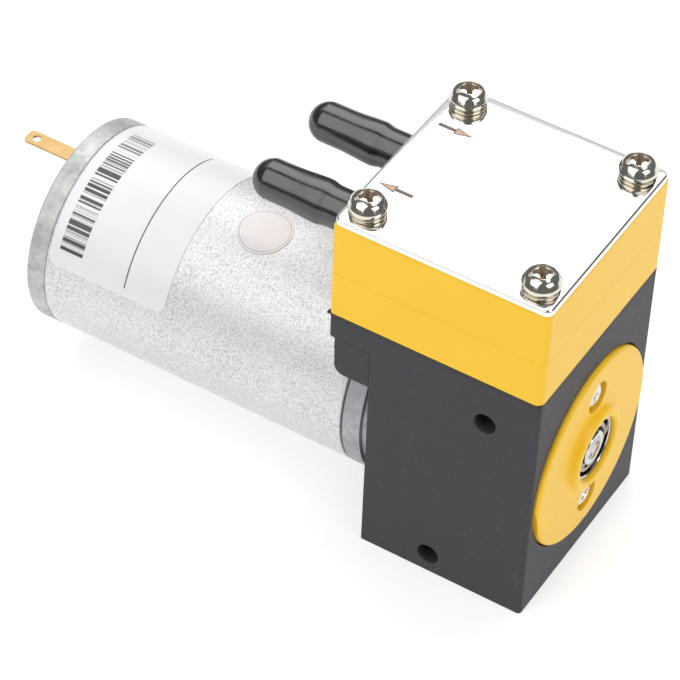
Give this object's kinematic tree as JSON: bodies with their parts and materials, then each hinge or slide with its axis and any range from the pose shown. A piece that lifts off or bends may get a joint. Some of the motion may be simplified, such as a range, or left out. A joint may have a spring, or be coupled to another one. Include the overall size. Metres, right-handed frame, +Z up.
{
  "type": "diaphragm vacuum pump",
  "caption": "Small diaphragm vacuum pump: square crank housing, two part head with capped hose barbs, bearing cover and a round brushed motor behind.",
  "frame": {"origin": "centre of the crank housing's flat base", "axes": "+Z up, +Y along the shaft from the bearing cover to the motor, X across the head"},
  "size_m": [0.04, 0.1191, 0.0755],
  "materials": {
    "housing_plastic": "satin moulded plastic",
    "cover_plastic": "satin gloss moulded plastic",
    "head_plastic": "satin gloss moulded plastic",
    "screw_steel": "bright nickel plate",
    "washer_steel": "nickel plate",
    "bearing_steel": "ground and polished",
    "ball_steel": "polished",
    "cage_steel": "pressed",
    "shaft_steel": "ground",
    "eccentric_steel": "turned",
    "counterweight_metal": "turned",
    "black_steel": "black oxide",
    "rod_aluminium": "machined",
    "seal_rubber": "matt",
    "diaphragm_rubber": "matt",
    "valve_rubber": "matt",
    "polished_steel": "mirror polished",
    "cap_rubber": "glossy soft rubber",
    "bracket_zinc": "zinc plate",
    "motor_paint": "sandy silver paint",
    "rear_cap_zinc": "zinc plate",
    "sintered_bronze": "sintered, oiled",
    "washer_plastic": "smooth",
    "magnet_ferrite": "sintered",
    "core_steel": "laminated",
    "winding_copper": "enamelled wire",
    "commutator_copper": "turned copper",
    "brush_plate_plastic": "phenolic board",
    "brush_carbon": "carbon",
    "terminal_brass": "pressed brass",
    "label_paper": "semi gloss film",
    "sticker_film": "thin clear film"
  },
  "bodies": {
    "pump_frame": {"crank_housing": "housing_plastic", "bearing_cover": "cover_plastic", "cover_screws": "screw_steel", "bearing_outer_ring": "bearing_steel", "diaphragm": "diaphragm_rubber", "valve_plate": "head_plastic", "seal_rings": "seal_rubber", "head_cover": "head_plastic", "top_plate": "polished_steel", "head_screws": "screw_steel", "spring_washers": "washer_steel", "motor_bracket": "bracket_zinc", "motor_screws": "screw_steel", "motor_can": "motor_paint", "rear_cap": "rear_cap_zinc", "front_bush": "sintered_bronze", "rear_bush": "sintered_bronze", "magnets": "magnet_ferrite", "brush_plate": "brush_plate_plastic", "brushes": "brush_carbon", "brush_arms": "terminal_brass", "terminals": "terminal_brass", "motor_label": "label_paper", "inspection_sticker": "sticker_film"},
    "rotor": {"motor_shaft": "shaft_steel", "bearing_inner_ring": "bearing_steel", "eccentric": "eccentric_steel", "counterweight": "counterweight_metal", "set_screws": "black_steel", "rod_bearing_inner_ring": "bearing_steel", "thrust_washers": "washer_plastic", "armature_core": "core_steel", "windings": "winding_copper", "commutator": "commutator_copper"},
    "rod": {"connecting_rod": "rod_aluminium", "rod_bearing_outer_ring": "bearing_steel", "rod_bearing_seals": "seal_rubber", "pressure_disc": "rod_aluminium", "clamp_screw": "screw_steel"},
    "ball_set": {"bearing_balls": "ball_steel", "bearing_cage": "cage_steel"},
    "inlet_valve": {"inlet_valve_disc": "valve_rubber"},
    "outlet_valve": {"outlet_valve_disc": "valve_rubber"},
    "inlet_port_cap": {"inlet_cap": "cap_rubber"},
    "outlet_port_cap": {"outlet_cap": "cap_rubber"}
  },
  "joints": [
    {"name": "shaft_spin", "type": "hinge", "parent": "pump_frame", "child": "rotor", "pos_m": [0, 0, 0.0246], "axis": [0, 1, 0], "continuous": true, "deforming": ["diaphragm"]},
    {"name": "rod_turn", "type": "hinge", "parent": "rotor", "child": "rod", "pos_m": [0, 0.004, 0.0266], "axis": [0, 1, 0], "continuous": true},
    {"name": "ball_orbit", "type": "hinge", "parent": "pump_frame", "child": "ball_set", "pos_m": [0, -0.0155, 0.0246], "axis": [0, 1, 0], "continuous": true},
    {"name": "inlet_valve_drop", "type": "slide", "parent": "pump_frame", "child": "inlet_valve", "axis": [0, 0, 1], "range_m": [-0.0005, 0], "stiffness_N_per_m": 20, "springref_m": 0.0005},
    {"name": "outlet_valve_lift", "type": "slide", "parent": "pump_frame", "child": "outlet_valve", "axis": [0, 0, 1], "range_m": [0, 0.0005], "stiffness_N_per_m": 20, "springref_m": -0.0005},
    {"name": "inlet_cap_pull", "type": "slide", "parent": "pump_frame", "child": "inlet_port_cap", "axis": [0, 1, 0], "range_m": [0, 0.022]},
    {"name": "outlet_cap_pull", "type": "slide", "parent": "pump_frame", "child": "outlet_port_cap", "axis": [0, 1, 0], "range_m": [0, 0.022]}
  ],
  "couplings": [
    {"joint": "rod_turn", "follows": "shaft_spin", "ratio": -1},
    {"joint": "ball_orbit", "follows": "shaft_spin", "ratio": 0.36471}
  ]
}
